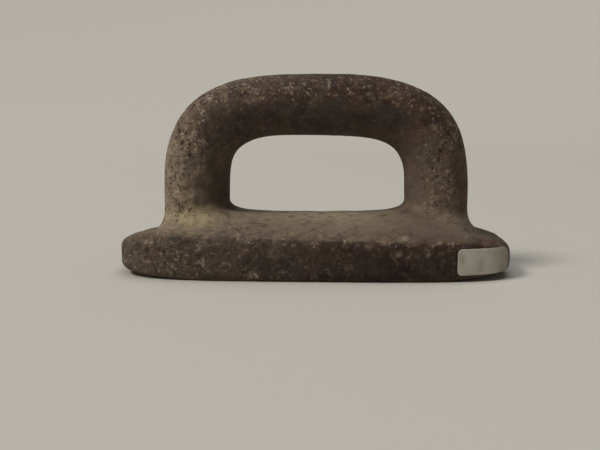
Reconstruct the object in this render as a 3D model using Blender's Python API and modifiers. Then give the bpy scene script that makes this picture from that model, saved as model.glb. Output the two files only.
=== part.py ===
"""Stone pounder: a hand pounder carved from one block of basalt, with a blank paper label.

The stone is a flat-bottomed base with a stirrup handle standing on it. The label is stuck
round the right front corner of the base.

Metres, +Z up. The origin is on the rest plane under the middle of the base, +X runs along
the base to the right, and +Y runs to the back.
"""

import bmesh
import bpy
import numpy as np
from mathutils import Matrix, Vector

# Base, seen from above: a rounded rectangle with slightly bowed sides
BASE_LENGTH = 0.177
BASE_DEPTH = 0.075
PLAN_SQUARENESS = 4.0

# Base, seen from the side: height of the rim, which falls along the front from left to right
RIM_FRONT_LEFT = 0.0235
RIM_FRONT_RIGHT = 0.0172
RIM_FRONT_FALL = 2.4
RIM_FRONT_FULLNESS = 3.0
RIM_BACK = 0.0157
RIM_ENDS = 0.0138
RIM_ROUNDING = 0.0035
FOOT_ROUNDING = 0.0035

# Crown of the base: its height inside the handle, and how full it stays towards either end
CROWN_HEIGHT = 0.0259
CROWN_FULLNESS_LEFT = 1.8
CROWN_FULLNESS_RIGHT = 2.6

# Pounding face: flat in the middle, rising a little towards both ends
FLAT_LENGTH = 0.090
END_RISE = 0.0030

# Handle: outer and inner outlines of the stirrup, each an arch on straight legs
HANDLE_HEIGHT = 0.0897
HANDLE_HALF_SPAN = 0.0703
HANDLE_SHOULDER = 0.0375
HANDLE_SQUARENESS = 2.8
GRIP_SHIFT = 0.0007
GRIP_TOP = 0.0614
GRIP_HALF_WIDTH = 0.0404
GRIP_SHOULDER = 0.0336
GRIP_SQUARENESS = 3.95

# Handle, cut across: half its depth at the bar and at the feet, and how full the section is
BAR_HALF_DEPTH = 0.0155
LEG_HALF_DEPTH = 0.0175
SECTION_FULLNESS = 2.2

# Fillets where the legs grow out of the base; those inside run far along the base
FILLET_INSIDE = 0.0085
FILLET_INSIDE_SPREAD = 4.5
FILLET_SPREAD_END = 0.5
FILLET_OUTSIDE = 0.0095

# Label: its paper, and its place on the front of the base
LABEL_LENGTH = 0.0275
LABEL_HEIGHT = 0.0116
LABEL_THICKNESS = 0.0002
LABEL_CORNER = 0.0018
LABEL_FROM_END = 0.0264
LABEL_MIDDLE_HEIGHT = 0.0087
LABEL_GAP = 0.0003

# Facets of the finished solids
FINE_FACETS_ALONG_BASE = 80
FACETS_KEPT = 0.30
WORKING_PASSES = 2
RELAX_PASSES = 3
RELAX_SHARE = 0.5
LABEL_COLUMNS = 24
LABEL_ROWS = 10

# Settling a point on a surface: step for the slope, longest move, most moves, and when to stop
SLOPE_STEP = 1e-6
LONGEST_MOVE = 0.002
MOST_MOVES = 40
SETTLED = 1e-8
TINY = 1e-12

# Finishes: linear colour, roughness, and the least angle that shades as an edge
SHARP_ANGLE = np.radians(50)
STONE_COLOUR = (0.085, 0.068, 0.052, 1.0)
STONE_ROUGHNESS = 0.92
PAPER_COLOUR = (0.62, 0.60, 0.52, 1.0)
PAPER_ROUGHNESS = 0.75


def smooth_max(a, b, reach):
    """Larger of two values, rounded over where they differ by less than the reach."""
    near = np.maximum(reach - np.abs(a - b), 0.0) / reach
    return np.maximum(a, b) + near * near * reach / 4


def smooth_min(a, b, reach):
    """Smaller of two values, rounded over where they differ by less than the reach."""
    return -smooth_max(-a, -b, reach)


def superellipse(x, y, half_x, half_y, squareness):
    """Distance outside a superellipse, and the ratio of a point's size to the outline's."""
    u = np.maximum(np.abs(x) / half_x, TINY)
    v = np.maximum(np.abs(y) / half_y, TINY)
    ratio = (u**squareness + v**squareness) ** (1 / squareness)
    slope_x = (u / ratio) ** (squareness - 1) / half_x
    slope_y = (v / ratio) ** (squareness - 1) / half_y
    return (ratio - 1) / np.sqrt(slope_x**2 + slope_y**2), ratio


def base_distance(x, y, z):
    """Distance outside the base: its plan outline, its pounding face and its crowned top."""
    half_length = BASE_LENGTH / 2
    half_base = BASE_DEPTH / 2
    outside_plan, ratio = superellipse(x, y, half_length, half_base, PLAN_SQUARENESS)

    half_flat = FLAT_LENGTH / 2
    past_flat = np.maximum(np.abs(x) - half_flat, 0.0) / (half_length - half_flat)
    under = END_RISE * past_flat**2 - z

    leftwards = (1 - np.clip(x / half_length, -1.0, 1.0)) / 2
    fall = leftwards**RIM_FRONT_FALL
    rim_front = RIM_FRONT_RIGHT + (RIM_FRONT_LEFT - RIM_FRONT_RIGHT) * fall
    towards_side = np.minimum((np.abs(y) / half_base / ratio) ** PLAN_SQUARENESS, 1.0)
    front_rise = (rim_front - RIM_ENDS) * (1 - (1 - towards_side) ** RIM_FRONT_FULLNESS)
    back_rise = (RIM_BACK - RIM_ENDS) * towards_side
    rim = RIM_ENDS + np.where(y < 0, front_rise, back_rise)
    fullness = CROWN_FULLNESS_RIGHT + (CROWN_FULLNESS_LEFT - CROWN_FULLNESS_RIGHT) * leftwards
    over = z - CROWN_HEIGHT + (CROWN_HEIGHT - rim) * ratio**fullness

    sides_and_foot = smooth_max(outside_plan, under, FOOT_ROUNDING)
    return smooth_max(sides_and_foot, over, RIM_ROUNDING)


def eased_share(value, whole):
    """Share of the whole, from 0 to 1, eased at both ends."""
    share = np.clip(value / whole, 0.0, 1.0)
    return share**2 * (3 - 2 * share)


def across_leg(x):
    """How far a point lies across a leg: 0 at the grip and 1 at the outside."""
    from_grip = np.abs(x - GRIP_SHIFT) - GRIP_HALF_WIDTH
    return np.clip(from_grip / (HANDLE_HALF_SPAN - GRIP_HALF_WIDTH), 0.0, 1.0)


def arch(x, z, half_span, shoulder, height, squareness):
    """Distance outside an arch whose legs run straight down below its shoulder."""
    above = np.maximum(z - shoulder, 0.0)
    return superellipse(x, above, half_span, height - shoulder, squareness)[0]


def handle_distance(x, y, z):
    """Distance outside the handle: a full section carried between two arches.

    Between the legs it is divided by the spread, so that the fillet there runs that many times
    farther along the base than up the leg.
    """
    outside = arch(x, z, HANDLE_HALF_SPAN, HANDLE_SHOULDER, HANDLE_HEIGHT, HANDLE_SQUARENESS)
    grip_x = x - GRIP_SHIFT
    inside = arch(grip_x, z, GRIP_HALF_WIDTH, GRIP_SHOULDER, GRIP_TOP, GRIP_SQUARENESS)
    half_thickness = (inside - outside) / 2
    from_middle = (inside + outside) / 2
    up = np.clip((z - CROWN_HEIGHT) / (GRIP_TOP - CROWN_HEIGHT), 0.0, 1.0)
    half_depth = LEG_HALF_DEPTH + (BAR_HALF_DEPTH - LEG_HALF_DEPTH) * up
    section = superellipse(from_middle, y, half_thickness, half_depth, SECTION_FULLNESS)[0]
    outer = eased_share(across_leg(x), FILLET_SPREAD_END)
    beside = eased_share(np.abs(y) - LEG_HALF_DEPTH, LEG_HALF_DEPTH)
    spread = 1 + (FILLET_INSIDE_SPREAD - 1) * (1 - outer) * (1 - beside)
    leg_end = max(FILLET_INSIDE, FILLET_OUTSIDE)
    return np.maximum(section / spread, leg_end - z)


def stone_distance(points):
    """Distance outside the stone: base and handle grown together with fillets."""
    x, y, z = points.T
    across = eased_share(across_leg(x), 1.0)
    fillet = FILLET_INSIDE + (FILLET_OUTSIDE - FILLET_INSIDE) * across
    return smooth_min(base_distance(x, y, z), handle_distance(x, y, z), fillet)


def stone_slope(points):
    """Gradient of the stone's distance, by central differences."""
    slope = np.empty_like(points)
    for axis in range(3):
        step = np.zeros(3)
        step[axis] = SLOPE_STEP
        slope[:, axis] = stone_distance(points + step) - stone_distance(points - step)
    return slope / (2 * SLOPE_STEP)


def settle(points, level):
    """Points moved along the slope until each lies at the level above the stone."""
    points = points.copy()
    moving = np.arange(len(points))
    for _ in range(MOST_MOVES):
        here = points[moving]
        slope = stone_slope(here)
        steepness = np.sqrt((slope**2).sum(axis=1) + TINY)
        reach = (stone_distance(here) - level) / steepness
        reach = np.clip(reach, -LONGEST_MOVE, LONGEST_MOVE)
        points[moving] = here - slope * (reach / steepness)[:, None]
        moving = moving[np.abs(reach) > SETTLED]
        if not len(moving):
            break
    return points


def outward(points):
    """Unit vectors that point straight out of the stone."""
    slope = stone_slope(points)
    return slope / np.linalg.norm(slope, axis=1)[:, None]


def read_points(mesh):
    """All vertices of a mesh, one row each."""
    points = np.empty(len(mesh.vertices) * 3)
    mesh.vertices.foreach_get("co", points)
    return points.reshape(-1, 3)


def write_points(mesh, points):
    """Moves all vertices of a mesh."""
    mesh.vertices.foreach_set("co", points.ravel())
    mesh.update()


def new_collection(name):
    """A collection of the scene."""
    collection = bpy.data.collections.new(name)
    bpy.context.scene.collection.children.link(collection)
    return collection


def new_material(name, colour, roughness):
    """A plain Principled BSDF finish."""
    material = bpy.data.materials.new(name)
    material.use_nodes = True
    shader = material.node_tree.nodes["Principled BSDF"]
    shader.inputs["Base Color"].default_value = colour
    shader.inputs["Roughness"].default_value = roughness
    shader.inputs["Metallic"].default_value = 0.0
    return material


def add_part(collection, name, mesh, material):
    """An object for one piece, shaded smooth, with its finish."""
    part = bpy.data.objects.new(name, mesh)
    collection.objects.link(part)
    mesh.materials.append(material)
    mesh.shade_smooth()
    mesh.set_sharp_from_angle(angle=SHARP_ANGLE)
    return part


def rough_blank():
    """The stone roughed out: a slab, two legs and a bar as blocks that overlap."""
    slab_height = min(RIM_ENDS, RIM_BACK, RIM_FRONT_LEFT, RIM_FRONT_RIGHT)
    leg_width = HANDLE_HALF_SPAN - GRIP_HALF_WIDTH
    leg_middle = (HANDLE_HALF_SPAN + GRIP_HALF_WIDTH) / 2
    leg_height = (GRIP_TOP + HANDLE_HEIGHT) / 2
    bar_height = HANDLE_HEIGHT - GRIP_TOP
    blocks = [
        ((0, 0, slab_height / 2), (BASE_LENGTH, BASE_DEPTH, slab_height)),
        ((0, 0, leg_height), (2 * leg_middle, 2 * BAR_HALF_DEPTH, bar_height)),
    ]
    for side in (-1, 1):
        place = (side * leg_middle, 0, leg_height / 2)
        blocks.append((place, (leg_width, 2 * LEG_HALF_DEPTH, leg_height)))

    blank = bmesh.new()
    for place, size in blocks:
        matrix = Matrix.LocRotScale(Vector(place), None, Vector(size))
        bmesh.ops.create_cube(blank, size=1.0, matrix=matrix)
    mesh = bpy.data.meshes.new("blank")
    blank.to_mesh(mesh)
    blank.free()
    return mesh


def remade(mesh, kind, **settings):
    """The mesh after one modifier of this kind with these settings."""
    work = bpy.data.objects.new("work", mesh)
    bpy.context.scene.collection.objects.link(work)
    modifier = work.modifiers.new("remake", kind)
    for name, value in settings.items():
        setattr(modifier, name, value)
    graph = bpy.context.evaluated_depsgraph_get()
    made = bpy.data.meshes.new_from_object(work.evaluated_get(graph))
    bpy.data.objects.remove(work)
    bpy.data.meshes.remove(mesh)
    return made


def relax(mesh):
    """Evens the spacing of the vertices along the surface."""
    work = bmesh.new()
    work.from_mesh(mesh)
    bmesh.ops.smooth_vert(
        work,
        verts=work.verts,
        factor=RELAX_SHARE,
        use_axis_x=True,
        use_axis_y=True,
        use_axis_z=True,
    )
    work.to_mesh(mesh)
    work.free()


def make_stone():
    """The stone: a blank worked back to the finished surface, with few facets where it is flat."""
    facet = BASE_LENGTH / FINE_FACETS_ALONG_BASE
    mesh = rough_blank()
    for _ in range(WORKING_PASSES):
        mesh = remade(mesh, "REMESH", mode="VOXEL", voxel_size=facet)
        write_points(mesh, settle(read_points(mesh), 0.0))
    for _ in range(RELAX_PASSES):
        relax(mesh)
        write_points(mesh, settle(read_points(mesh), 0.0))
    mesh = remade(mesh, "DECIMATE", decimate_type="COLLAPSE", ratio=FACETS_KEPT)
    write_points(mesh, settle(read_points(mesh), 0.0))
    mesh.name = "stone_body"
    return mesh


def label_on_stone(flat):
    """Paper points (along, up) walked over the stone from the label's left edge.

    Each point first walks its distance level along the side of the base, and then its
    distance up or down at right angles to that, so the paper keeps its size.
    """
    count = len(flat)
    start = np.array([BASE_LENGTH / 2 - LABEL_FROM_END, -BASE_DEPTH / 2, LABEL_MIDDLE_HEIGHT])
    points = settle(np.tile(start, (count, 1)), LABEL_GAP)
    upward = np.tile(np.array([0.0, 0.0, 1.0]), (count, 1))
    for _ in range(LABEL_COLUMNS):
        heading = np.cross(upward, outward(points))
        heading /= np.linalg.norm(heading, axis=1)[:, None]
        points = settle(points + heading * (flat[:, :1] / LABEL_COLUMNS), LABEL_GAP)
    for _ in range(LABEL_ROWS):
        climb = np.cross(outward(points), heading)
        climb /= np.linalg.norm(climb, axis=1)[:, None]
        points = settle(points + climb * (flat[:, 1:] / LABEL_ROWS), LABEL_GAP)
    return points


def rounded_sheet(square):
    """Points of a square from -1 to 1 laid out as the flat label, with round corners.

    Past a corner's centre both ways, the quarter square is pressed into a quarter disc.
    """
    size = np.array([LABEL_LENGTH / 2, LABEL_HEIGHT / 2])
    flat = square * size
    past = np.maximum(np.abs(flat) - (size - LABEL_CORNER), 0.0) / LABEL_CORNER
    pressed = past * np.sqrt(1 - past[:, ::-1] ** 2 / 2)
    flat -= np.sign(flat) * (past - pressed) * LABEL_CORNER
    return flat + np.array([LABEL_LENGTH / 2, 0.0])


def make_label():
    """The label's inner face: a sheet of paper with round corners, laid on the stone."""
    paper = bmesh.new()
    bmesh.ops.create_grid(paper, x_segments=LABEL_COLUMNS, y_segments=LABEL_ROWS, size=1.0)
    mesh = bpy.data.meshes.new("paper_label")
    paper.to_mesh(mesh)
    paper.free()
    write_points(mesh, label_on_stone(rounded_sheet(read_points(mesh)[:, :2])))
    return mesh


def main():
    """Builds the stone and its label in a collection of their own."""
    for leftover in list(bpy.data.objects):
        bpy.data.objects.remove(leftover)
    parts = new_collection("stone_pounder")
    basalt = new_material("weathered_basalt", STONE_COLOUR, STONE_ROUGHNESS)
    paper = new_material("aged_paper", PAPER_COLOUR, PAPER_ROUGHNESS)
    stone = add_part(parts, "stone_body", make_stone(), basalt)
    label = add_part(parts, "paper_label", make_label(), paper)
    label.parent = stone
    sheet = label.modifiers.new("paper", "SOLIDIFY")
    sheet.thickness = LABEL_THICKNESS
    sheet.offset = 1.0


main()
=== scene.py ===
"""Looks of the stone pounder: a pecked basalt body and a blank paper label on a pale stage.

Lengths are in metres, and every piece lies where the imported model's own frame puts it.
"""

import itertools
import logging
import math
from collections.abc import Mapping
from dataclasses import dataclass, field
from enum import Enum, IntEnum
from typing import Any

import bpy
import numpy as np
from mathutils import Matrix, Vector
from numpy.typing import NDArray


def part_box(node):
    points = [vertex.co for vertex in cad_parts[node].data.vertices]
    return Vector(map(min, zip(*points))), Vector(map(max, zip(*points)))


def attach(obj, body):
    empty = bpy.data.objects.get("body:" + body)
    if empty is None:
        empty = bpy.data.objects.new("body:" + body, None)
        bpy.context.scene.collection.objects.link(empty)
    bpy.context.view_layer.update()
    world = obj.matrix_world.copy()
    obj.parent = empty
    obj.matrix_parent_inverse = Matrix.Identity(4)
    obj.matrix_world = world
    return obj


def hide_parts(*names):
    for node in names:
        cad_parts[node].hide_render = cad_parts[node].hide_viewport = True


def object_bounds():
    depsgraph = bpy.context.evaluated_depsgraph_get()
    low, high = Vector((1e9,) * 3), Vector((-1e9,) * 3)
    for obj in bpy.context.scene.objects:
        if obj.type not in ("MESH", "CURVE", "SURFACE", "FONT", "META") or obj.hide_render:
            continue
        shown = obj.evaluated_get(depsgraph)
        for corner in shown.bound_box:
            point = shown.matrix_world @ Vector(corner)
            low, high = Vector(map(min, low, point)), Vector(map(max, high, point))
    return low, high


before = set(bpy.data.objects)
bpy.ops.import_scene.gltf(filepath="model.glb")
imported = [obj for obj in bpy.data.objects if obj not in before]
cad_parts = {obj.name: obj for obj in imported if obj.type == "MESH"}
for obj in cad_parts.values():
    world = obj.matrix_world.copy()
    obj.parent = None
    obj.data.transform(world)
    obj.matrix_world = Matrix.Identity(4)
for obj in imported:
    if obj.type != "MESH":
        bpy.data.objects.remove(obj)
CAD_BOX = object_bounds()

LOG = logging.getLogger("stone_pounder")
Array = NDArray[Any]
Colour = tuple[float, float, float, float]
Span = tuple[float, float]

MM = 0.001
TINY = 1e-12
IMAGE_WIDTH_PX = 600
SENSOR_WIDTH_MM = 36.0


class Coat(Enum):
    """Point attributes that tell the stone's finish what lies where, each from 0 to 1."""

    PECKED = "pecked"
    # Pale dust, partly painted light.
    DUST_AND_LIGHT = "dust_and_light"
    SAND = "sand"
    # Dark film of handling, partly painted shade on the sides turned from the light.
    FILM_AND_SHADE = "film_and_shade"
    RUST = "rust"
    HOLLOW = "hollow"
    SCAR = "scar"


class MixSocket(IntEnum):
    """Sockets of a colour Mix node, by their place in its lists."""

    FACTOR = 0
    BELOW = 6
    ABOVE = 7
    RESULT = 2


def linear(code: str) -> Colour:
    """Turn an sRGB hex colour into linear light.

    Args:
        code: Colour as "#rrggbb".

    Returns:
        Linear red, green and blue, and an alpha of 1.
    """
    srgb = np.array([int(code[i:i + 2], 16) for i in (1, 3, 5)]) / 255
    light = np.where(srgb <= 0.04045, srgb / 12.92, ((srgb + 0.055) / 1.055) ** 2.4)
    return (*light.tolist(), 1.0)


def add_node(
    tree: bpy.types.NodeTree,
    kind: str,
    inputs: Mapping[str | int, Any] | None = None,
    **settings: Any,
) -> bpy.types.Node:
    """Add a shader node with its settings and links.

    Args:
        tree: Node tree that gets the node.
        kind: Blender's name for the kind of node.
        inputs: Input sockets by name or number, each with a socket to link or a constant.
        **settings: Properties of the node itself.

    Returns:
        The new node.
    """
    node = tree.nodes.new(kind)
    for name, value in settings.items():
        setattr(node, name, value)
    for socket, value in (inputs or {}).items():
        if isinstance(value, bpy.types.NodeSocket):
            tree.links.new(value, node.inputs[socket])
        else:
            node.inputs[socket].default_value = value
    return node


def add_mix(
    tree: bpy.types.NodeTree, share: Any, below: Any, above: Colour
) -> bpy.types.NodeSocket:
    """Lay one colour over another.

    Args:
        tree: Node tree that gets the node.
        share: Socket of the share that the upper colour covers.
        below: Lower colour, or its socket.
        above: Upper colour.

    Returns:
        The mixed colour's socket.
    """
    inputs = {MixSocket.FACTOR: share, MixSocket.BELOW: below, MixSocket.ABOVE: above}
    mix = add_node(tree, "ShaderNodeMix", inputs, data_type="RGBA")
    return mix.outputs[MixSocket.RESULT]


def start_material(
    name: str, **inputs: Any
) -> tuple[bpy.types.Material, bpy.types.NodeTree, bpy.types.Node]:
    """Make a node material with nothing but a Principled shader.

    Args:
        name: Name of the material.
        **inputs: The shader's inputs by name, with "_" for a space.

    Returns:
        The material, its node tree and its shader, already linked to the output.
    """
    material = bpy.data.materials.new(name)
    material.use_nodes = True
    tree = material.node_tree
    tree.nodes.clear()
    shader = add_node(tree, "ShaderNodeBsdfPrincipled",
                      {key.replace("_", " "): value for key, value in inputs.items()})
    add_node(tree, "ShaderNodeOutputMaterial", {"Surface": shader.outputs["BSDF"]})
    return material, tree, shader


def ramp(value: Array, start: float, end: float) -> Array:
    """Ease from 0 at start to 1 at end: 3t^2 - 2t^3, with t clipped to 0..1."""
    t = np.clip((value - start) / (end - start), 0.0, 1.0)
    return t * t * (3.0 - 2.0 * t)


def blend(share: Array, start: float | Array, end: float | Array) -> Array:
    """Go from the start value at share 0 to the end value at share 1."""
    return start + (end - start) * share


def signed_power(value: Array, power: float) -> Array:
    """Raise the size of each value to a power and keep its sign."""
    return np.sign(value) * np.abs(value) ** power


def smooth_max(first: Array, second: Array, reach: float | Array) -> Array:
    """Larger of two distances, rounded off with a parabola where they lie within reach."""
    near = np.maximum(reach - np.abs(first - second), 0.0) / reach
    return np.maximum(first, second) + near * near * reach / 4.0


def superellipse(
    x: Array, y: Array, half_x: float | Array, half_y: float | Array, squareness: float
) -> tuple[Array, Array]:
    """Distance from a superellipse, worked out as (ratio - 1) over the ratio's own slope.

    Args:
        x: First coordinates.
        y: Second coordinates.
        half_x: Half width along the first axis.
        half_y: Half width along the second axis.
        squareness: Exponent, 2 for an ellipse and more for squarer corners.

    Returns:
        The distance, negative inside, and the ratio, which is 1 on the curve.
    """
    u = np.maximum(np.abs(x) / half_x, TINY)
    v = np.maximum(np.abs(y) / half_y, TINY)
    ratio = (u ** squareness + v ** squareness) ** (1.0 / squareness)
    slope_x = (u / ratio) ** (squareness - 1.0) / half_x
    slope_y = (v / ratio) ** (squareness - 1.0) / half_y
    return (ratio - 1.0) / np.sqrt(slope_x ** 2 + slope_y ** 2), ratio


def grid_faces(rows: int, columns: int, closed: bool, first: int = 0) -> list[list[int]]:
    """Quads of a grid of points that are stored row by row.

    Args:
        rows: Number of rows.
        columns: Number of points in each row.
        closed: Whether each row runs round and meets its own start.
        first: Number of the grid's first point in the mesh.

    Returns:
        The corners of each quad.
    """
    index = first + np.arange(rows * columns).reshape(rows, columns)
    if closed:
        index = np.hstack([index, index[:, :1]])
    corners = (index[:-1, :-1], index[:-1, 1:], index[1:, 1:], index[1:, :-1])
    return np.stack(corners, axis=-1).reshape(-1, 4).tolist()


def link_new(name: str, data: bpy.types.ID) -> bpy.types.Object:
    """Make an object of a mesh, lamp or camera and link it to the scene."""
    made = bpy.data.objects.new(name, data)
    bpy.context.scene.collection.objects.link(made)
    return made


def new_piece(name: str, points: Array, faces: list[list[int]]) -> bpy.types.Object:
    """Put points and faces into a smooth-shaded object at the origin.

    Args:
        name: Name of the object and its mesh.
        points: Points, one row each.
        faces: Corners of each face.

    Returns:
        The object, linked to the scene.
    """
    mesh = bpy.data.meshes.new(name)
    mesh.from_pydata(points.tolist(), [], faces)
    mesh.shade_smooth()
    return link_new(name, mesh)


def write_coat(mesh: bpy.types.Mesh, name: str, values: Array) -> None:
    """Store one value from 0 to 1 for each point of a mesh, for its finish to read."""
    layer = mesh.attributes.new(name, "FLOAT", "POINT")
    layer.data.foreach_set("value", np.clip(values, 0.0, 1.0))


def read_points(mesh: bpy.types.Mesh) -> Array:
    """Read a mesh's points into an array, one row each."""
    flat = np.empty(len(mesh.vertices) * 3)
    mesh.vertices.foreach_get("co", flat)
    return flat.reshape(-1, 3)


def lattice_pick(order: Array, cell: Array) -> Array:
    """Shuffle whole-number cells into repeatable picks from a table.

    Args:
        order: Shuffled numbers, as many as a power of two.
        cell: Cells, one row of three whole numbers each.

    Returns:
        One number of the table for each cell.
    """
    picked = np.zeros(len(cell), dtype=int)
    for axis in range(3):
        picked = order[(picked + cell[:, axis]) & (len(order) - 1)]
    return picked


@dataclass(frozen=True)
class LatticeNoise:
    """Smooth noise: random slopes on a cubic lattice, eased together inside each cell.

    Args:
        seed: Start of the random draws.
        wavelength: Edge of a cell, which is about the width of a swell and its hollow.
    """

    seed: int
    wavelength: float
    table_size: int = 1024
    gain: float = 1.5

    def at(self, points: Array) -> Array:
        """Value of the noise at each point, about -1 to 1."""
        draws = np.random.default_rng(self.seed)
        order = draws.permutation(self.table_size)
        slopes = draws.normal(size=(self.table_size, 3))
        slopes /= np.linalg.norm(slopes, axis=1, keepdims=True)
        place = points / self.wavelength
        cell = np.floor(place).astype(int)
        inside = place - cell
        ease = inside ** 3 * (inside * (inside * 6.0 - 15.0) + 10.0)
        total = np.zeros(len(points))
        for step in itertools.product((0, 1), repeat=3):
            corner = np.array(step)
            slope = slopes[lattice_pick(order, cell + corner)]
            weight = np.where(corner, ease, 1.0 - ease).prod(axis=1)
            total += weight * (slope * (inside - corner)).sum(axis=1)
        return total * self.gain


@dataclass(frozen=True)
class PitScatter:
    """Round-bottomed pits, at most one to a cubic cell: (1 - (distance / radius)^2)^2.

    Args:
        seed: Start of the random draws.
        spacing: Edge of a cell.
        smallest: Least radius of a pit.
        largest: Greatest radius of a pit, no more than the spacing.
        share: Share of the cells that hold a pit.
        shallowest: Depth of the shallowest pit, as a share of the deepest.
    """

    seed: int
    spacing: float
    smallest: float
    largest: float
    share: float
    shallowest: float = 0.4
    table_size: int = 4096

    def at(self, points: Array) -> Array:
        """Depth of the deepest pit at each point, from 0 to 1."""
        draws = np.random.default_rng(self.seed)
        order = draws.permutation(self.table_size)
        chance = draws.random((self.table_size, 6))
        cell = np.floor(points / self.spacing).astype(int)
        deepest = np.zeros(len(points))
        for step in itertools.product((-1, 0, 1), repeat=3):
            near = cell + np.array(step)
            draw = chance[lattice_pick(order, near)]
            centre = (near + draw[:, :3]) * self.spacing
            radius = blend(draw[:, 3], self.smallest, self.largest)
            gap = ((points - centre) ** 2).sum(axis=1) / radius ** 2
            depth = blend(draw[:, 4], self.shallowest, 1.0) * (draw[:, 5] < self.share)
            deepest = np.maximum(deepest, depth * np.clip(1.0 - gap, 0.0, None) ** 2)
        return deepest


@dataclass(frozen=True)
class PounderForm:
    """Smooth shape of the stone before it is pecked: a distance that is 0 on its surface.

    The base is a superellipse in plan between a slightly rockered underside and a crowned top.
    The handle is a superellipse section carried round an arch that stands on the base, and a
    rounded fillet blends the two.
    """

    length: float
    depth: float
    height: float
    plan_squareness: float = 4.0
    rim_front_left: float = 0.0235
    rim_front_right: float = 0.0172
    rim_front_fall: float = 2.4
    rim_front_fullness: float = 3.0
    rim_back: float = 0.0157
    rim_ends: float = 0.0138
    crown_height: float = 0.0259
    crown_fullness_left: float = 1.8
    crown_fullness_right: float = 2.6
    rim_rounding: float = 0.0035
    foot_rounding: float = 0.0035
    flat_length: float = 0.090
    end_rise: float = 0.0030
    handle_half_span: float = 0.0703
    handle_shoulder_left: float = 0.0295
    handle_shoulder_right: float = 0.0330
    handle_squareness: float = 3.0
    grip_shift: float = 0.0007
    grip_top: float = 0.0614
    grip_half_width: float = 0.0404
    grip_shoulder: float = 0.0336
    grip_squareness: float = 3.95
    bar_half_depth: float = 0.0155
    leg_half_depth: float = 0.0175
    section_fullness: float = 2.2
    fillet_inside: float = 0.0085
    fillet_inside_spread: float = 4.5
    fillet_spread_end: float = 0.5
    fillet_outside: float = 0.0095
    handle_blend: float = 0.006
    slope_step: float = 1e-6
    settle_rounds: int = 6
    settle_longest: float = 0.002

    @classmethod
    def from_node(cls, node: str) -> "PounderForm":
        """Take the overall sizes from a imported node's box."""
        low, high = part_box(node)
        return cls(2.0 * min(-low.x, high.x), 2.0 * min(-low.y, high.y), high.z)

    def base_walls(self, points: Array) -> tuple[Array, Array, Array]:
        """Distances outside the base's sides, under it and over it."""
        x, y, z = points.T
        half = self.length / 2.0
        sides, ratio = superellipse(x, y, half, self.depth / 2.0, self.plan_squareness)
        flat = self.flat_length / 2.0
        past_flat = np.maximum(np.abs(x) - flat, 0.0) / (half - flat)
        under = self.end_rise * past_flat ** 2 - z
        left = (1.0 - np.clip(x / half, -1.0, 1.0)) / 2.0
        rim_front = blend(left ** self.rim_front_fall, self.rim_front_right, self.rim_front_left)
        fullness = blend(left, self.crown_fullness_right, self.crown_fullness_left)
        side = (np.abs(y) / (self.depth / 2.0) / ratio) ** self.plan_squareness
        front_rise = 1.0 - np.maximum(1.0 - side, 0.0) ** self.rim_front_fullness
        rim = self.rim_ends + np.where(y < 0.0, (rim_front - self.rim_ends) * front_rise,
                                       (self.rim_back - self.rim_ends) * side)
        over = z - self.crown_height + (self.crown_height - rim) * ratio ** fullness
        return sides, under, over

    def base(self, points: Array) -> Array:
        """Distance from the base: its three walls, rounded where they meet."""
        sides, under, over = self.base_walls(points)
        return smooth_max(smooth_max(sides, under, self.foot_rounding), over, self.rim_rounding)

    def arch(self, x: Array, z: Array, half_span: float, shoulder: float | Array, top: float,
             squareness: float) -> Array:
        """Distance outside an arch: straight legs up to the shoulder, a superellipse above."""
        rise = np.maximum(z - shoulder, 0.0)
        return superellipse(x, rise, half_span, top - shoulder, squareness)[0]

    def arches(self, points: Array) -> tuple[Array, Array]:
        """Distances outside the handle's outer arch and outside the grip's arch."""
        x, _, z = points.T
        left = ramp(x, self.bar_half_depth, -self.bar_half_depth)
        shoulder = blend(left, self.handle_shoulder_right, self.handle_shoulder_left)
        outside = self.arch(x, z, self.handle_half_span, shoulder, self.height,
                            self.handle_squareness)
        inside = self.arch(x - self.grip_shift, z, self.grip_half_width, self.grip_shoulder,
                           self.grip_top, self.grip_squareness)
        return outside, inside

    def from_grip(self, points: Array) -> Array:
        """How far each point of the handle lies from the grip, 1 on the outer arch."""
        outside, inside = self.arches(points)
        return np.clip(inside / (inside - outside), 0.0, 1.0)

    def across_leg(self, points: Array) -> Array:
        """How far each point lies across a leg, 0 at the grip and 1 outside."""
        from_grip = np.abs(points[:, 0] - self.grip_shift) - self.grip_half_width
        return np.clip(from_grip / (self.handle_half_span - self.grip_half_width), 0.0, 1.0)

    def section(self, points: Array) -> Array:
        """Distance from a full section carried between the outer arch and the grip's arch."""
        y, z = points[:, 1], points[:, 2]
        outside, inside = self.arches(points)
        up = np.clip((z - self.crown_height) / (self.grip_top - self.crown_height), 0.0, 1.0)
        half_depth = blend(up, self.leg_half_depth, self.bar_half_depth)
        return superellipse((inside + outside) / 2.0, y, (inside - outside) / 2.0, half_depth,
                            self.section_fullness)[0]

    def handle(self, points: Array) -> Array:
        """Distance from the handle, which ends inside the base.

        Between the legs it is divided by the spread, so that the fillet there runs that many
        times farther along the base than up the leg.
        """
        y, z = points[:, 1], points[:, 2]
        inner = ramp(self.across_leg(points), self.fillet_spread_end, 0.0)
        inner *= ramp(np.abs(y), 2.0 * self.leg_half_depth, self.leg_half_depth)
        spread = blend(inner, 1.0, self.fillet_inside_spread)
        leg_end = max(self.fillet_inside, self.fillet_outside)
        return np.maximum(self.section(points) / spread, leg_end - z)

    def distance(self, points: Array) -> Array:
        """Distance from the whole stone: base and handle with a fillet between them."""
        across = ramp(self.across_leg(points), 0.0, 1.0)
        fillet = blend(across, self.fillet_inside, self.fillet_outside)
        return -smooth_max(-self.base(points), -self.handle(points), fillet)

    def slope(self, points: Array) -> Array:
        """Slope of the distance at each point, by central differences over a small step."""
        moves = np.eye(3) * self.slope_step
        rises = [self.distance(points + move) - self.distance(points - move) for move in moves]
        return np.stack(rises, axis=1) / (2.0 * self.slope_step)

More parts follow.
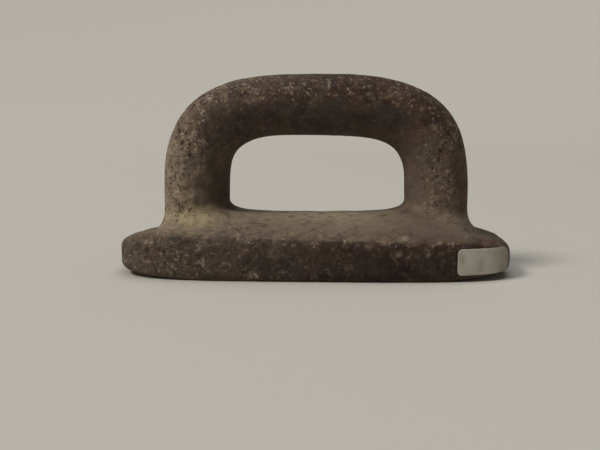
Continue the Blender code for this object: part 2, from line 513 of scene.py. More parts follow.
    def normals(self, points: Array) -> Array:
        """Unit normals, which are the slope at unit length."""
        slope = self.slope(points)
        return slope / (np.linalg.norm(slope, axis=1, keepdims=True) + TINY)

    def settle(self, points: Array) -> Array:
        """Move points along the slope on to the stone's surface, by Newton's steps.

        Args:
            points: Points near the surface, one row each.

        Returns:
            The settled points.
        """
        for _ in range(self.settle_rounds):
            slope = self.slope(points)
            off = self.distance(points)
            step = slope * (off / ((slope ** 2).sum(axis=1) + TINY))[:, None]
            size = np.linalg.norm(step, axis=1, keepdims=True)
            points = points - step * np.minimum(1.0, self.settle_longest / (size + TINY))
        return points

    def rim_share(self, points: Array, reach: float) -> Array:
        """How near each surface point lies to the rim, 1 on its edge and 0 past the reach."""
        sides, _, over = self.base_walls(points)
        return np.clip(1.0 - np.abs(sides - over) / reach, 0.0, 1.0)

    def handle_share(self, points: Array) -> Array:
        """How far each surface point belongs to the handle and not to the base."""
        deeper = self.base(points) - self.section(points)
        return ramp(deeper, -self.handle_blend, self.handle_blend)


@dataclass(frozen=True)
class ColourLayer:
    """One layer of the stone's colour: noise of a real size, cut between two levels.

    Args:
        colour: Colour of the layer, sRGB.
        patch: Size of a patch in metres.
        low: Noise value at which the layer starts.
        high: Noise value at which it covers.
        cover: Share of the layer that covers what lies below.
        coat: Attribute that the layer follows, or None for all over.
        seed: Fourth coordinate of the noise.
        detail: Finer octaves of the noise.
        rough: Share of each octave that the next finer one keeps.
        stretch: How many times longer than the patch the layer runs along the base.
    """

    colour: str
    patch: float
    low: float
    high: float
    cover: float
    coat: Coat | None
    seed: float
    detail: float = 2.0
    rough: float = 0.5
    stretch: float = 1.0


@dataclass(frozen=True)
class WeatheredBasalt:
    """Fine-grained basalt, pecked into shape with a hammer stone and long weathered.

    It gives the eye a dry, matt, warm dark grey that breaks into tan crumbs and black pits, with
    pale dust where it faces up and paler bruises where the edge has chipped. Its dust also holds
    painted light, and its dark film and darkened pits hold painted shade.
    """

    name: str = "weathered_basalt"
    ground: str = "#4a3e37"
    deep: str = "#1c1613"
    layers: tuple[ColourLayer, ...] = (
        # The rock's own patches: dark, reddish and olive.
        ColourLayer("#2c2423", 9.0 * MM, 0.42, 0.62, 0.75, None, 1.0, 5.0, 0.6),
        ColourLayer("#563a34", 11.0 * MM, 0.52, 0.64, 0.50, None, 2.0, 4.0, 0.6),
        ColourLayer("#4e4633", 14.0 * MM, 0.54, 0.66, 0.45, None, 3.0, 4.0, 0.6),
        # Dust, partly painted light, sand, and streaks along the base where the dust is thin.
        ColourLayer("#ac9c84", 5.0 * MM, 0.17, 0.52, 0.88, Coat.DUST_AND_LIGHT, 4.0, 5.0),
        ColourLayer("#ae9d7c", 6.0 * MM, 0.25, 0.55, 0.80, Coat.SAND, 9.0, 5.0, 0.6),
        ColourLayer("#4e4136", 0.9 * MM, 0.54, 0.65, 0.60, Coat.DUST_AND_LIGHT, 4.5, 2.0, 0.5, 4.5),
        # Dark film of handling, partly painted shade, and rust-brown stain.
        ColourLayer("#241c1b", 8.0 * MM, 0.20, 0.60, 0.90, Coat.FILM_AND_SHADE, 8.0, 5.0, 0.6),
        ColourLayer("#523a28", 7.0 * MM, 0.26, 0.58, 0.65, Coat.RUST, 10.0, 5.0, 0.6),
        # Pale, reddish and black crumbs of the pecked surface, then pale grains and black pores.
        ColourLayer("#93816c", 7.0 * MM, 0.53, 0.63, 0.78, Coat.PECKED, 5.0, 7.0, 0.8),
        ColourLayer("#7d6052", 8.0 * MM, 0.53, 0.64, 0.60, Coat.PECKED, 5.5, 7.0, 0.8),
        ColourLayer("#191413", 6.0 * MM, 0.52, 0.62, 0.90, Coat.PECKED, 6.0, 7.0, 0.8),
        ColourLayer("#ae9f8c", 1.6 * MM, 0.55, 0.66, 0.60, Coat.PECKED, 6.5, 2.0, 0.6),
        ColourLayer("#141010", 1.7 * MM, 0.55, 0.63, 0.72, Coat.PECKED, 7.0, 2.0, 0.6),
        # Crushed rock of the scars.
        ColourLayer("#ab9c8a", 1.4 * MM, 0.43, 0.57, 0.85, Coat.SCAR, 7.5, 4.0, 0.7),
    )
    roughness_low: float = 0.78
    roughness_high: float = 0.96
    specular: float = 0.25
    grain: float = 2.3 * MM
    grain_seed: float = 5.0
    grain_detail: float = 2.0
    grain_rough: float = 0.6
    grain_span: Span = (0.3, 0.7)
    grain_height: float = 1.20 * MM
    smooth_grain: float = 0.30

    def material(self) -> bpy.types.Material:
        """Build the material.

        Returns:
            A material that reads the stone's attributes and Object coordinates.
        """
        material, tree, shader = start_material(self.name, Specular_IOR_Level=self.specular)
        place = add_node(tree, "ShaderNodeTexCoord").outputs["Object"]
        coats = {
            coat: add_node(tree, "ShaderNodeAttribute", attribute_name=coat.value).outputs["Fac"]
            for coat in Coat
        }
        colour: Any = linear(self.ground)
        for layer in self.layers:
            drawn = add_node(tree, "ShaderNodeVectorMath",
                             {0: place, 1: (1.0 / layer.stretch, 1.0, 1.0)},
                             operation="MULTIPLY").outputs["Vector"]
            noise = add_node(
                tree, "ShaderNodeTexNoise",
                {"Vector": drawn, "W": layer.seed, "Scale": 1.0 / layer.patch,
                 "Detail": layer.detail, "Roughness": layer.rough},
                noise_dimensions="4D",
            )
            mask = add_node(
                tree, "ShaderNodeMapRange",
                {"Value": noise.outputs["Fac"], "From Min": layer.low, "From Max": layer.high,
                 "To Max": layer.cover},
                interpolation_type="SMOOTHSTEP",
            ).outputs["Result"]
            if layer.coat:
                mask = add_node(tree, "ShaderNodeMath", {0: mask, 1: coats[layer.coat]},
                                operation="MULTIPLY").outputs[0]
            colour = add_mix(tree, mask, colour, linear(layer.colour))
        # Painted shade in the pits and bruises, as the hollow attribute says.
        colour = add_mix(tree, coats[Coat.HOLLOW], colour, linear(self.deep))
        tree.links.new(colour, shader.inputs["Base Color"])

        grain = add_node(tree, "ShaderNodeTexNoise",
                         {"Vector": place, "W": self.grain_seed, "Scale": 1.0 / self.grain,
                          "Detail": self.grain_detail, "Roughness": self.grain_rough},
                         noise_dimensions="4D").outputs["Fac"]
        rough = add_node(tree, "ShaderNodeMapRange",
                         {"Value": grain, "From Min": self.grain_span[0],
                          "From Max": self.grain_span[1],
                          "To Min": self.roughness_low, "To Max": self.roughness_high})
        tree.links.new(rough.outputs["Result"], shader.inputs["Roughness"])
        strength = add_node(tree, "ShaderNodeMapRange",
                            {"Value": coats[Coat.PECKED], "To Min": self.smooth_grain})
        bump = add_node(tree, "ShaderNodeBump",
                        {"Height": grain, "Distance": self.grain_height,
                         "Strength": strength.outputs["Result"]})
        tree.links.new(bump.outputs["Normal"], shader.inputs["Normal"])
        return material


@dataclass(frozen=True)
class AgedPaper:
    """Smooth uncoated paper, gone grey-yellow with handling and dirt.

    It gives the eye a dull off-white with faint cloudy soiling and a slight tooth.
    """

    name: str = "aged_paper"
    ground: str = "#b8b4aa"
    darker_tone: str = "#857c6c"
    darker_tone_coat: str = "darker_tone"
    cloud: float = 7.0 * MM
    cloud_detail: float = 4.0
    cloud_span: Span = (0.42, 0.75)
    cloud_share: float = 0.6
    roughness: float = 0.8
    tooth: float = 0.9 * MM
    tooth_detail: float = 2.0
    tooth_height: float = 0.03 * MM

    def material(self) -> bpy.types.Material:
        """Build the material.

        Returns:
            A material of paper with a cloudy stain, darker where its attribute says, and a tooth.
        """
        material, tree, shader = start_material(self.name, Roughness=self.roughness)
        place = add_node(tree, "ShaderNodeTexCoord").outputs["Object"]
        cloud = add_node(tree, "ShaderNodeTexNoise",
                         {"Vector": place, "Scale": 1.0 / self.cloud,
                          "Detail": self.cloud_detail})
        stain = add_node(tree, "ShaderNodeMapRange",
                         {"Value": cloud.outputs["Fac"], "From Min": self.cloud_span[0],
                          "From Max": self.cloud_span[1], "To Max": self.cloud_share},
                         interpolation_type="SMOOTHSTEP")
        darker_end = add_node(tree, "ShaderNodeAttribute", attribute_name=self.darker_tone_coat)
        darkened = add_node(tree, "ShaderNodeMath",
                          {0: stain.outputs["Result"], 1: darker_end.outputs["Fac"]},
                          operation="ADD", use_clamp=True)
        colour = add_mix(tree, darkened.outputs["Value"], linear(self.ground), linear(self.darker_tone))
        tree.links.new(colour, shader.inputs["Base Color"])
        tooth = add_node(tree, "ShaderNodeTexNoise",
                         {"Vector": place, "Scale": 1.0 / self.tooth,
                          "Detail": self.tooth_detail})
        bump = add_node(tree, "ShaderNodeBump",
                        {"Height": tooth.outputs["Fac"], "Distance": self.tooth_height})
        tree.links.new(bump.outputs["Normal"], shader.inputs["Normal"])
        return material


@dataclass(frozen=True)
class PaleBoard:
    """Matt painted board of the stage, a plain warm grey-white."""

    name: str = "pale_board"
    ground: str = "#c4c1ba"
    roughness: float = 0.9
    specular: float = 0.1

    def material(self) -> bpy.types.Material:
        """Build the plain material."""
        return start_material(self.name, Base_Color=linear(self.ground), Roughness=self.roughness,
                              Specular_IOR_Level=self.specular)[0]


@dataclass(frozen=True)
class HandWork:
    """Slow unevenness of stone worked by hand: two noises of long wavelength.

    The handle, which is held, keeps less of the shorter one.
    """

    form: PounderForm
    swell: LatticeNoise = LatticeNoise(11, 0.038)
    swell_height: float = 0.00035
    ripple: LatticeNoise = LatticeNoise(12, 0.011)
    ripple_height: float = 0.00030
    inset: float = 0.3
    handle_wear: float = 0.5
    under_facing: Span = (0.30, 0.90)

    def depth(self, points: Array, normals: Array) -> Array:
        """How far the stone lies inside the smooth form, nothing on the pounding face."""
        swell = (self.inset - self.swell.at(points)) * self.swell_height
        ripple = (self.inset - self.ripple.at(points)) * self.ripple_height
        handle = self.form.handle_share(points)
        under = ramp(-normals[:, 2], *self.under_facing) * (1.0 - handle)
        return (swell + ripple * (1.0 - self.handle_wear * handle)) * (1.0 - under)


@dataclass(frozen=True)
class Places:
    """Shares from 0 to 1 that tell the parts of the stone's surface apart, point by point.

    Args:
        handle: On the handle and not on the base.
        bar: On the upper part of the handle.
        leg: On the lower part of the handle.
        foot: Where a leg grows out of the base, on the upper side.
        inner: On the handle, beside the finger opening.
        outer: On the handle, farthest from the finger opening.
        left: Towards the left end.
        right: Towards the right end.
        tip: On the outermost part of either end of the base.
        up: On the base, facing up.
        front: On the base, facing the front.
        under: On the base, facing down.
        rim: Near the rim of the base, all round it.
        front_rim: Near the rim of the base, on the front.
    """

    handle: Array
    bar: Array
    leg: Array
    foot: Array
    inner: Array
    outer: Array
    left: Array
    right: Array
    tip: Array
    up: Array
    front: Array
    under: Array
    rim: Array
    front_rim: Array


@dataclass(frozen=True)
class StoneMap:
    """Works out where each point of the stone lies.

    Each span holds the values at which a share starts and at which it is whole: metres for
    places, parts of the unit normal for directions, and for inner and outer the way from the
    grip, at 0, to the outer arch, at 1.
    """

    form: PounderForm
    bar_height: Span = (0.052, 0.072)
    leg_height: Span = (0.075, 0.040)
    foot_height: Span = (0.048, 0.030)
    foot_reach: Span = (0.034, 0.012)
    foot_facing: Span = (-0.10, 0.40)
    inner_left_leg: Span = (0.66, 0.30)
    inner_right_leg: Span = (0.38, 0.14)
    inner_bar: Span = (0.66, 0.50)
    outer_side: Span = (0.55, 0.95)
    left_place: Span = (0.030, -0.065)
    right_place: Span = (0.010, 0.055)
    tip_place: Span = (0.064, 0.077)
    up_facing: Span = (0.30, 0.80)
    front_facing: Span = (0.70, 0.98)
    under_facing: Span = (0.30, 0.90)
    rim_reach: float = 0.0110

    def places(self, points: Array, normals: Array, ragged: Array) -> Places:
        """Find each point's place.

        Args:
            points: Points on the smooth form.
            normals: Unit normals there.
            ragged: Noise that frays the edges of the front and of the inner side.

        Returns:
            The shares of each point.
        """
        x, y, z = points.T
        facing_y, facing_z = normals[:, 1], normals[:, 2]
        handle = self.form.handle_share(points)
        base = 1.0 - handle
        high = ramp(z, *self.bar_height)
        from_grip = self.form.from_grip(points) + ragged
        left = ramp(x, *self.left_place)
        on_left = ramp(from_grip, *self.inner_left_leg)
        on_right = ramp(from_grip, *self.inner_right_leg)
        on_leg = blend(left, on_right, on_left)
        on_bar = ramp(from_grip, *self.inner_bar)
        from_leg = np.abs(np.abs(x) - self.form.handle_half_span)
        near_foot = ramp(from_leg, *self.foot_reach) * ramp(z, *self.foot_height)
        rim = self.form.rim_share(points, self.rim_reach)
        return Places(
            handle=handle,
            bar=handle * high,
            leg=handle * ramp(z, *self.leg_height),
            foot=near_foot * ramp(facing_z, *self.foot_facing),
            inner=handle * blend(high, on_leg, on_bar),
            outer=handle * ramp(from_grip, *self.outer_side),
            left=left,
            right=ramp(x, *self.right_place),
            tip=base * ramp(np.abs(x), *self.tip_place),
            up=base * ramp(facing_z, *self.up_facing),
            front=base * ramp(ragged - facing_y, *self.front_facing),
            under=base * ramp(-facing_z, *self.under_facing),
            rim=rim,
            front_rim=rim * (y < 0.0),
        )


@dataclass(frozen=True)
class Scar:
    """One pale bruise on the front of the base, an ellipse seen from the front.

    Args:
        x: Place along the base.
        z: Height above the pounding face.
        half_x: Half its length.
        half_z: Half its height.
        strength: How pale it is in its middle, from 0 to 1.
        core: Value of the formula below from which it is as pale as in its middle.
    """

    x: float
    z: float
    half_x: float
    half_z: float
    strength: float
    core: float = 0.6

    def at(self, points: Array) -> Array:
        """Paleness at each point, eased from 1 - (dx / half_x)^2 - (dz / half_z)^2."""
        away = ((points[:, 0] - self.x) / self.half_x) ** 2
        away += ((points[:, 2] - self.z) / self.half_z) ** 2
        return self.strength * ramp(1.0 - away, 0.0, self.core) * (points[:, 1] < 0.0)


@dataclass(frozen=True)
class Roughness:
    """How rough the stone was pecked, and where it has worn smooth since.

    Shares of the places are added up and thinned out between clusters. A share of wear takes
    that much away. The top's has a value for the right and one for the left.
    """

    everywhere: float = 0.40
    left: float = 0.62
    handle: float = 0.36
    bar_wear: float = 0.18
    top_wear: Span = (0.30, 0.40)
    front_wear: float = 0.25
    front_rim: float = 0.30
    clusters: LatticeNoise = LatticeNoise(13, 0.016)
    cluster_span: Span = (-0.5, 0.5)
    between_clusters: float = 0.50
    foot_wear: float = 0.45
    left_foot_spared: float = 0.6
    right_leg_outside_cut: float = 0.7
    under_wear: float = 0.7
    grip_side_cut: float = 0.82

    def at(self, points: Array, on: Places) -> Array:
        """Roughness: most at the left end and on the handle's outside, least at the grip."""
        rough = self.everywhere + self.left * on.left + self.handle * on.handle
        rough -= self.bar_wear * on.bar
        rough -= blend(on.left, *self.top_wear) * on.up + self.front_wear * on.front
        rough += self.front_rim * on.front_rim
        thick = ramp(self.clusters.at(points), *self.cluster_span)
        rough *= blend(thick, self.between_clusters, 1.0)
        smooth = self.foot_wear * on.foot * (1.0 - self.left_foot_spared * on.left)
        smooth = np.maximum(smooth, self.right_leg_outside_cut * on.outer * on.leg * (1.0 - on.left))
        rough *= 1.0 - self.under_wear * on.under
        rough *= 1.0 - self.grip_side_cut * on.inner
        return rough * (1.0 - smooth)


@dataclass(frozen=True)
class Sand:
    """Pale sand caught at the left leg's foot, and a trace of it at the right one."""

    trace: float = 0.05
    settled_height: Span = (0.0195, 0.0255)

    def at(self, points: Array, on: Places) -> Array:
        """Share of sand at each point."""
        settled = ramp(points[:, 2], *self.settled_height)
        return on.foot * blend(on.left, self.trace, 1.0) * (1.0 - on.tip) * settled


@dataclass(frozen=True)
class FilmAndShade:
    """Dark film of handling, partly painted shade: bar, left leg inside, right leg outside,
    front.
    """

    inner_bar: float = 0.62
    outer_bar: float = 1.00
    left_leg_inside: float = 0.65
    right_leg_outside: float = 0.60
    front: float = 0.95
    left_spared: float = 0.8

    def at(self, on: Places) -> Array:
        """Share of film and painted shade at each point."""
        kept = 1.0 - self.left_spared * on.left
        bar = (self.inner_bar * on.inner + self.outer_bar * (1.0 - on.inner) * kept) * on.bar
        # Painted shade: the left leg's inside and the right leg's outside are turned from the
        # light.
        leg = self.left_leg_inside * on.inner * on.left
        leg += self.right_leg_outside * on.outer * (1.0 - on.left)
        # The film on the front, which is turned from the light, is partly painted shade.
        return bar + leg * on.leg * (1.0 - on.foot) + self.front * on.front * kept


@dataclass(frozen=True)
class Rust:
    """Rust-brown stain: on the outer half of the bar and the legs, and on the front rim."""

    bar: float = 0.72
    leg: float = 0.60
    rim: float = 0.6
    left_spared: float = 0.4

    def at(self, on: Places) -> Array:
        """Share of rust at each point."""
        kept = 1.0 - self.left_spared * on.left
        handle = self.bar * on.bar * kept + self.leg * on.leg * kept * (1.0 - on.foot)
        rim = self.rim * on.front_rim * (1.0 - on.left) * (1.0 - on.handle)
        return handle * (1.0 - on.inner) + rim


@dataclass(frozen=True)
class DustAndLight:
    """Pale dust, partly painted light: thick on the base's top, less on legs, little on bar and
    front.

    A share of wear takes that much of the dust away. The leg and the grip have one value for the
    right and one for the left, the left side one off the rim and one on it, and the left half of
    the handle one at the grip and one outside. Painted light lies on the crown's ridge and the
    left handle's outside, turned to the light, and painted shade on the right leg's outside
    and the left leg's grip side, turned from it.
    """

    facing: Span = (0.45, 0.75)
    facing_fray: float = 0.25
    ridge_place: Span = (0.030, 0.008)
    ridge_wear_left: float = 0.5
    ridge_wear_right: float = 0.8
    off_ridge: float = 0.45
    right_wear: float = 0.52
    tip_wear: float = 0.8
    rim_wear: float = 0.7
    rim_fray: Span = (-0.4, 0.4)
    left_side: Span = (0.14, 0.28)
    leg: Span = (0.24, 0.44)
    right_leg_outside_cut: float = 0.5
    left_handle: Span = (0.10, 0.46)
    grip_side_cut: Span = (0.52, 0.70)
    handle: float = 0.06
    foot: float = 0.34

    def at(self, points: Array, normals: Array, on: Places, ragged: Array) -> Array:
        """Find how thick the dust and its painted light lie.

        Args:
            points: Points on the smooth form.
            normals: Unit normals there.
            on: Where each point lies.
            ragged: Noise that frays the edge of the dust.

        Returns:
            Thickness of the dust with its painted light and shade, from 0 to 1.
        """
        lies = ramp(normals[:, 2] + self.facing_fray * ragged, *self.facing)
        rim = on.rim * ramp(ragged, *self.rim_fray)
        # Painted light on the crown's ridge, where the bar's shadow falls.
        ridge = ramp(np.abs(points[:, 1]), *self.ridge_place)
        ridge *= (1.0 - self.ridge_wear_left * on.left) * (1.0 - self.ridge_wear_right * on.right)
        top = lies * blend(ridge, self.off_ridge, 1.0)
        top *= 1.0 - self.right_wear * on.right
        top *= 1.0 - self.tip_wear * on.tip
        side = blend(on.rim, *self.left_side) * on.left
        base = np.maximum(top * (1.0 - self.rim_wear * rim), side)
        leg = blend(on.left, *self.leg) * on.leg
        # Painted shade: less dust on the right leg's outside, turned from the light.
        leg *= 1.0 - self.right_leg_outside_cut * on.outer * (1.0 - on.left)
        # Painted light: more dust on the left half of the handle's outside, turned to the light.
        leg += blend(on.outer, *self.left_handle) * on.left * (1.0 - on.inner)
        # Less dust at the grip, and more taken off on the left leg, whose grip side is painted
        # shade.
        leg *= 1.0 - blend(on.left, *self.grip_side_cut) * on.inner * (1.0 - on.foot)
        return blend(on.handle, base, self.handle + leg + self.foot * on.foot)


@dataclass
class PaperLabel:
    """Small stuck-on label, laid round the right front corner of the base and left blank."""

    form: PounderForm
    work: HandWork
    finish: AgedPaper = field(default_factory=AgedPaper)
    node: str = "paper_label"
    length: float = 0.0275
    height: float = 0.0116
    corner_left: float = 0.0021
    corner_right: float = 0.0044
    thickness: float = 0.00012
    lift: float = 0.00012
    from_end: float = 0.0264
    middle_height: float = 0.0087
    darkened: Span = (-0.002, 0.014)
    darker_share: float = 0.85
    columns: int = 97
    rows: int = 41
    arc_samples: int = 4001

    def flat_sheet(self) -> tuple[Array, Array]:
        """Flat sheet: a square grid whose corners are pressed round.

        Past the start of a corner both coordinates are scaled by the square-to-disc map,
        a * sqrt(1 - b^2 / 2).

        Returns:
            Distances along and up from the sheet's middle, one for each point.
        """
        along, up = np.meshgrid(np.linspace(-1.0, 1.0, self.columns),
                                np.linspace(-1.0, 1.0, self.rows))
        flat = np.stack([along.ravel() * self.length / 2.0, up.ravel() * self.height / 2.0])
        corner = np.where(flat[0] < 0.0, self.corner_left, self.corner_right)
        straight = np.array([[self.length], [self.height]]) / 2.0 - corner
        past = np.maximum(np.abs(flat) - straight, 0.0) / corner
        pressed = past * np.sqrt(1.0 - past[::-1] ** 2 / 2.0)
        along, up = np.sign(flat) * (np.minimum(np.abs(flat), straight) + pressed * corner)
        return along, up

    def surface(self) -> Array:
        """Lay the sheet on the base's side.

        The plan of the base is a superellipse. A point's distance along the sheet is its length
        of arc on that plan, its distance up is its height, and it then settles on to the stone
        and follows its unevenness.

        Returns:
            Points of the sheet, one row each.
        """
        along, up = self.flat_sheet()
        half_x, half_y = self.form.length / 2.0, self.form.depth / 2.0
        turn = np.linspace(0.0, math.pi / 2.0, self.arc_samples)
        power = 2.0 / self.form.plan_squareness
        plan_x = half_x * np.sin(turn) ** power
        plan_y = -half_y * np.cos(turn) ** power
        arc = np.concatenate([[0.0], np.cumsum(np.hypot(np.diff(plan_x), np.diff(plan_y)))])
        along += np.interp(half_x - self.from_end, plan_x, arc) + self.length / 2.0
        points = np.stack([np.interp(along, arc, plan_x), np.interp(along, arc, plan_y),
                           self.middle_height + up], axis=1)
        points = self.form.settle(points)
        normals = self.form.normals(points)
        return points + normals * (self.lift - self.work.depth(points, normals))[:, None]

    def build(self) -> bpy.types.Object:
        """Build the label with its thickness standing outwards.

        Returns:
            The label's object.
        """
        piece = new_piece("label_sheet", self.surface(),
                          grid_faces(self.rows, self.columns, closed=False))
        along, _ = self.flat_sheet()
        # Darker towards the sheet's right end.
        darker_tone = self.darker_share * ramp(along, *self.darkened)
        write_coat(piece.data, self.finish.darker_tone_coat, darker_tone)
        solid = piece.modifiers.new("thickness", "SOLIDIFY")
        solid.thickness = self.thickness
        solid.offset = 1.0
        self.dress(piece)
        return piece

    def dress(self, piece: bpy.types.Object) -> None:
        """Give the label its paper and its place in the frame."""
        piece.data.materials.append(self.finish.material())
        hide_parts(self.node)
        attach(piece, "root")


@dataclass
class StoneBody:
    """The pounder itself: base, legs and bar worked out of one block of basalt."""

    form: PounderForm
    zones: StoneMap
    work: HandWork
    label: PaperLabel
    finish: WeatheredBasalt = field(default_factory=WeatheredBasalt)
    node: str = "stone_body"
    mesh_size: float = 0.00088
    blank_rows: int = 24
    blank_columns: int = 96
    blank_reach_power: float = 0.3
    blank_height_power: float = 0.5
    peck_depth: float = 0.00055
    bruise_depth: float = 0.00075
    chip_depth: float = 0.0014
    chip_reach: float = 0.0045
    chip_span: Span = (0.05, 0.40)
    chip_paleness: float = 0.35
    pit_shade: float = 0.45
    bruise_shade: float = 0.35
    least_pits: float = 0.25
    under_wear: float = 0.8
    fray: float = 0.15
    label_margin: float = 0.0012
    roughness: Roughness = Roughness()
    dust_and_light: DustAndLight = DustAndLight()
    sand: Sand = Sand()
    film_and_shade: FilmAndShade = FilmAndShade()
    rust: Rust = Rust()
    ragged: LatticeNoise = LatticeNoise(14, 0.0042)
    pecks: PitScatter = PitScatter(21, 0.0027, 0.0011, 0.0021, 0.80)
    bruises: PitScatter = PitScatter(22, 0.0062, 0.0018, 0.0034, 0.35)
    chips: PitScatter = PitScatter(23, 0.0050, 0.0016, 0.0040, 0.60)
    scars: tuple[Scar, ...] = (
        Scar(-0.0716, 0.0167, 0.0020, 0.0015, 1.0),
        Scar(-0.0493, 0.0151, 0.0009, 0.0024, 0.8),
        Scar(-0.0472, 0.0081, 0.0009, 0.0028, 0.7),
        Scar(-0.0247, 0.0027, 0.0026, 0.0012, 1.0),
        Scar(0.0142, 0.0180, 0.0012, 0.0012, 0.7),
        Scar(0.0156, 0.0066, 0.0030, 0.0018, 0.2),
        Scar(0.0368, 0.0128, 0.0018, 0.0016, 0.5),
        Scar(0.0406, 0.0115, 0.0014, 0.0014, 0.4),
        Scar(0.0391, 0.0190, 0.0030, 0.0009, 0.6),
        Scar(0.0509, 0.0160, 0.0013, 0.0016, 0.6),
        Scar(0.0496, 0.0127, 0.0012, 0.0020, 0.45),
        Scar(0.0596, 0.0170, 0.0030, 0.0008, 0.6),
        Scar(0.0666, 0.0193, 0.0012, 0.0005, 0.5),
    )

    def base_blank(self) -> Array:
        """Closed blank of the base.

        One parameter runs round the plan's superellipse, the other from the middle of the
        underside out to the rim and back to the middle of the crown.

        Returns:
            Points as rows round the plan.
        """
        form = self.form
        turn = np.linspace(0.0, 2.0 * math.pi, self.blank_columns, endpoint=False)
        power = 2.0 / form.plan_squareness
        plan = np.stack([form.length / 2.0 * signed_power(np.cos(turn), power),
                         form.depth / 2.0 * signed_power(np.sin(turn), power)], axis=1)
        climb = np.linspace(0.0, math.pi, self.blank_rows)
        reach = np.sin(climb) ** self.blank_reach_power
        fall = signed_power(np.cos(climb), self.blank_height_power)
        height = form.crown_height / 2.0 * (1.0 - fall)
        points = np.empty((self.blank_rows, self.blank_columns, 3))
        points[:, :, :2] = plan * reach[:, None, None]
        points[:, :, 2] = height[:, None]
        return points

    def handle_blank(self) -> Array:
        """Closed blank of the handle.

        A superellipse section is carried along the arch, from one foot inside the base to the
        other, between the outer arch and the grip's arch.

        Returns:
            Points as rows round the section.
        """
        form = self.form
        foot = form.crown_height / 2.0
        legs = np.linspace(0.0, 1.0, self.blank_rows // 2, endpoint=False)
        sweep = np.linspace(0.0, math.pi, self.blank_rows * 2)
        arches = []
        for span, shoulder, top, squareness in (
            (form.handle_half_span, form.handle_shoulder_right, form.height,
             form.handle_squareness),
            (form.grip_half_width, form.grip_shoulder, form.grip_top, form.grip_squareness),
        ):
            power = 2.0 / squareness
            bow = np.stack([span * signed_power(np.cos(sweep), power),
                            blend(np.sin(sweep) ** power, shoulder, top)], axis=1)
            leg = np.stack([np.full_like(legs, span), blend(legs, foot, shoulder)], axis=1)
            arches.append(np.vstack([leg, bow, leg[::-1] * (-1.0, 1.0)]))
        outer, inner = arches
        turn = np.linspace(0.0, 2.0 * math.pi, self.blank_columns // 2, endpoint=False)
        power = 2.0 / form.section_fullness
        out, side = signed_power(np.cos(turn), power), signed_power(np.sin(turn), power)
        pinch = np.ones(len(outer))
        pinch[[0, -1]] = 0.0
        middle, half = (outer + inner) / 2.0, (outer - inner) / 2.0 * pinch[:, None]
        points = np.empty((len(outer), len(turn), 3))
        points[:, :, ::2] = middle[:, None, :] + half[:, None, :] * out[None, :, None]
        points[:, :, 1] = form.leg_half_depth * pinch[:, None] * side
        return points

    def smooth_body(self) -> bpy.types.Object:
        """Join the two blanks into one even skin.

        Returns:
            The stone's object, near the smooth form.
        """
        points: list[Array] = []
        faces: list[list[int]] = []
        for grid in (self.base_blank(), self.handle_blank()):
            first = sum(len(part) for part in points)
            faces += grid_faces(*grid.shape[:2], closed=True, first=first)
            points.append(grid.reshape(-1, 3))
        blank = new_piece("stone_blank", np.vstack(points), faces)
        skin = blank.modifiers.new("skin", "REMESH")
        skin.mode = "VOXEL"
        skin.voxel_size = self.mesh_size
        skin.use_smooth_shade = True
        shown = blank.evaluated_get(bpy.context.evaluated_depsgraph_get())
        mesh = bpy.data.meshes.new_from_object(shown)
        bpy.data.objects.remove(blank)
        mesh.name = "pounder_stone"
        return link_new("pounder_stone", mesh)

    def build(self) -> bpy.types.Object:
        """Build the stone with its pecked relief and the attributes that its finish reads.

        Returns:
            The stone's object.
        """
        piece = self.smooth_body()
        mesh = piece.data
        points = self.form.settle(read_points(mesh))
        normals = self.form.normals(points)
        inwards, coats = self.relief(points, normals)
        low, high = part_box(self.node)
        points = np.clip(points - normals * inwards[:, None], low, high)
        mesh.vertices.foreach_set("co", points.ravel())
        for coat, values in coats.items():
            write_coat(mesh, coat.value, values)
        mesh.update()
        self.dress(piece)
        return piece

    def relief(self, points: Array, normals: Array) -> tuple[Array, dict[Coat, Array]]:
        """How far the worked surface lies inside the smooth form, and what lies on it.

        Args:
            points: Points on the smooth form.
            normals: Unit normals there.

        Returns:
            Depths inwards, and the values of each attribute.
        """
        ragged = self.ragged.at(points)
        on = self.zones.places(points, normals, self.fray * ragged)
        bare = 1.0 - self.under_label(points)
        pecked = self.roughness.at(points, on)
        rim = self.form.rim_share(points, self.chip_reach) * (1.0 - on.under)
        pits = self.pecks.at(points) * blend(pecked, self.least_pits, 1.0)
        bruises = self.bruises.at(points) * pecked
        chips = self.chips.at(points) * rim
        fine = pits * self.peck_depth + bruises * self.bruise_depth + chips * self.chip_depth
        fine = fine * bare * (1.0 - self.under_wear * on.under)
        scars = np.max([scar.at(points) for scar in self.scars], axis=0)
        chipped = self.chip_paleness * ramp(chips, *self.chip_span)
        coats = {
            Coat.PECKED: pecked,
            Coat.DUST_AND_LIGHT: self.dust_and_light.at(points, normals, on, ragged),
            Coat.SAND: self.sand.at(points, on),
            Coat.FILM_AND_SHADE: self.film_and_shade.at(on),
            Coat.RUST: self.rust.at(on),
            # Painted shade in the hollows.
            Coat.HOLLOW: (self.pit_shade * pits + self.bruise_shade * bruises) * bare,
            Coat.SCAR: np.maximum(scars, chipped) * bare,
        }
        return self.work.depth(points, normals) + fine, coats

    def under_label(self, points: Array) -> Array:
        """Share of each point that the label covers, eased out over a margin round it."""
        sheet = self.label.surface()[::2]
        low, high = sheet.min(axis=0) - self.label_margin, sheet.max(axis=0) + self.label_margin
        near = np.flatnonzero(((points > low) & (points < high)).all(axis=1))
        gaps = np.linalg.norm(points[near, None, :] - sheet[None, :, :], axis=2).min(axis=1)
        cover = np.zeros(len(points))
        cover[near] = 1.0 - ramp(gaps, self.label_margin / 2.0, self.label_margin)
        return cover

    def dress(self, piece: bpy.types.Object) -> None:
        """Give the stone its basalt and its place in the frame."""
        piece.data.materials.clear()
        piece.data.materials.append(self.finish.material())
        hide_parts(self.node)
        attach(piece, "root")


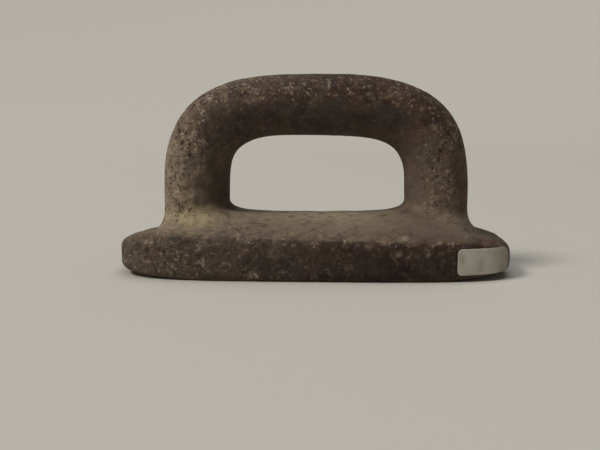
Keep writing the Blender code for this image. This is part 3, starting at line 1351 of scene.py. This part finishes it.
@dataclass(frozen=True)
class Lamp:
    """One soft lamp of the studio, a square that faces the stone."""

    name: str
    place: tuple[float, float, float]
    size: float
    watts: float
    colour: str = "#ffffff"

    def build(self, target: Vector) -> bpy.types.Object:
        """Make the lamp and turn it to the target."""
        light = bpy.data.lights.new(self.name, "AREA")
        light.size = self.size
        light.energy = self.watts
        light.color = linear(self.colour)[:3]
        lamp = link_new(self.name, light)
        lamp.location = self.place
        lamp.rotation_euler = (target - Vector(self.place)).to_track_quat("-Z", "Y").to_euler()
        return lamp


@dataclass
class Studio:
    """Stage of the picture: a pale shallow bowl, soft lamps and the camera."""

    finish: PaleBoard = field(default_factory=PaleBoard)
    radius: float = 2.4
    flat_radius: float = 0.9
    rise: float = 1.0
    cells: int = 120
    lamps: tuple[Lamp, ...] = (
        Lamp("key_lamp", (-4.50, -2.45, 6.15), 2.4, 380.0, "#fffaf2"),
        Lamp("overhead_lamp", (0.40, 1.60, 7.80), 6.0, 230.0),
    )
    sky: str = "#e6ebf4"
    sky_strength: float = 0.06
    focal_px: float = 908.0
    camera_place: tuple[float, float, float] = (0.01133, -0.41991, 0.0777)
    camera_down: float = 7.84
    camera_turn: float = 2.5
    camera_near: float = 0.01

    def floor(self) -> bpy.types.Object:
        """Floor: a square grid pressed into a disc, flat in the middle and rising as r squared.

        Returns:
            The floor's object.
        """
        u, v = np.meshgrid(*[np.linspace(-1.0, 1.0, self.cells)] * 2)
        x = self.radius * u * np.sqrt(1.0 - v ** 2 / 2.0)
        y = self.radius * v * np.sqrt(1.0 - u ** 2 / 2.0)
        past = np.maximum(np.hypot(x, y) - self.flat_radius, 0.0)
        z = self.rise * (past / (self.radius - self.flat_radius)) ** 2
        points = np.stack([x, y, z], axis=-1).reshape(-1, 3)
        piece = new_piece("stage_floor", points, grid_faces(self.cells, self.cells, closed=False))
        piece.data.materials.append(self.finish.material())
        return piece

    def camera(self) -> bpy.types.Object:
        """Camera at the photograph's place, with its focal length in the image's pixels."""
        data = bpy.data.cameras.new("camera")
        data.sensor_width = SENSOR_WIDTH_MM
        data.lens = self.focal_px / IMAGE_WIDTH_PX * SENSOR_WIDTH_MM
        data.clip_start = self.camera_near
        camera = link_new("camera", data)
        camera.location = self.camera_place
        camera.rotation_euler = (math.radians(90.0 - self.camera_down), 0.0,
                                 math.radians(self.camera_turn))
        bpy.context.scene.camera = camera
        return camera

    def build(self, target: Vector) -> None:
        """Set the stage, light it and place the camera.

        Args:
            target: Point that the lamps face.
        """
        self.floor()
        self.camera()
        for lamp in self.lamps:
            lamp.build(target)
        world = bpy.data.worlds.new("studio_air")
        world.use_nodes = True
        world.node_tree.nodes.clear()
        air = add_node(world.node_tree, "ShaderNodeBackground",
                       {"Color": linear(self.sky), "Strength": self.sky_strength})
        add_node(world.node_tree, "ShaderNodeOutputWorld",
                 {"Surface": air.outputs["Background"]})
        bpy.context.scene.world = world
        bpy.context.scene.view_settings.view_transform = "Standard"


def report(piece: bpy.types.Object) -> None:
    """Log a piece's name and its number of triangles."""
    shown = piece.evaluated_get(bpy.context.evaluated_depsgraph_get())
    shown.data.calc_loop_triangles()
    LOG.info("%s: %d triangles", piece.name, len(shown.data.loop_triangles))


def main() -> None:
    """Build the stage, the stone and its label."""
    logging.basicConfig(level=logging.INFO, format="%(name)s %(message)s")
    low, high = CAD_BOX
    Studio().build((low + high) / 2.0)
    form = PounderForm.from_node("stone_body")
    work = HandWork(form)
    label = PaperLabel(form, work)
    report(StoneBody(form, StoneMap(form), work, label).build())
    report(label.build())


if __name__ == "__main__":
    main()
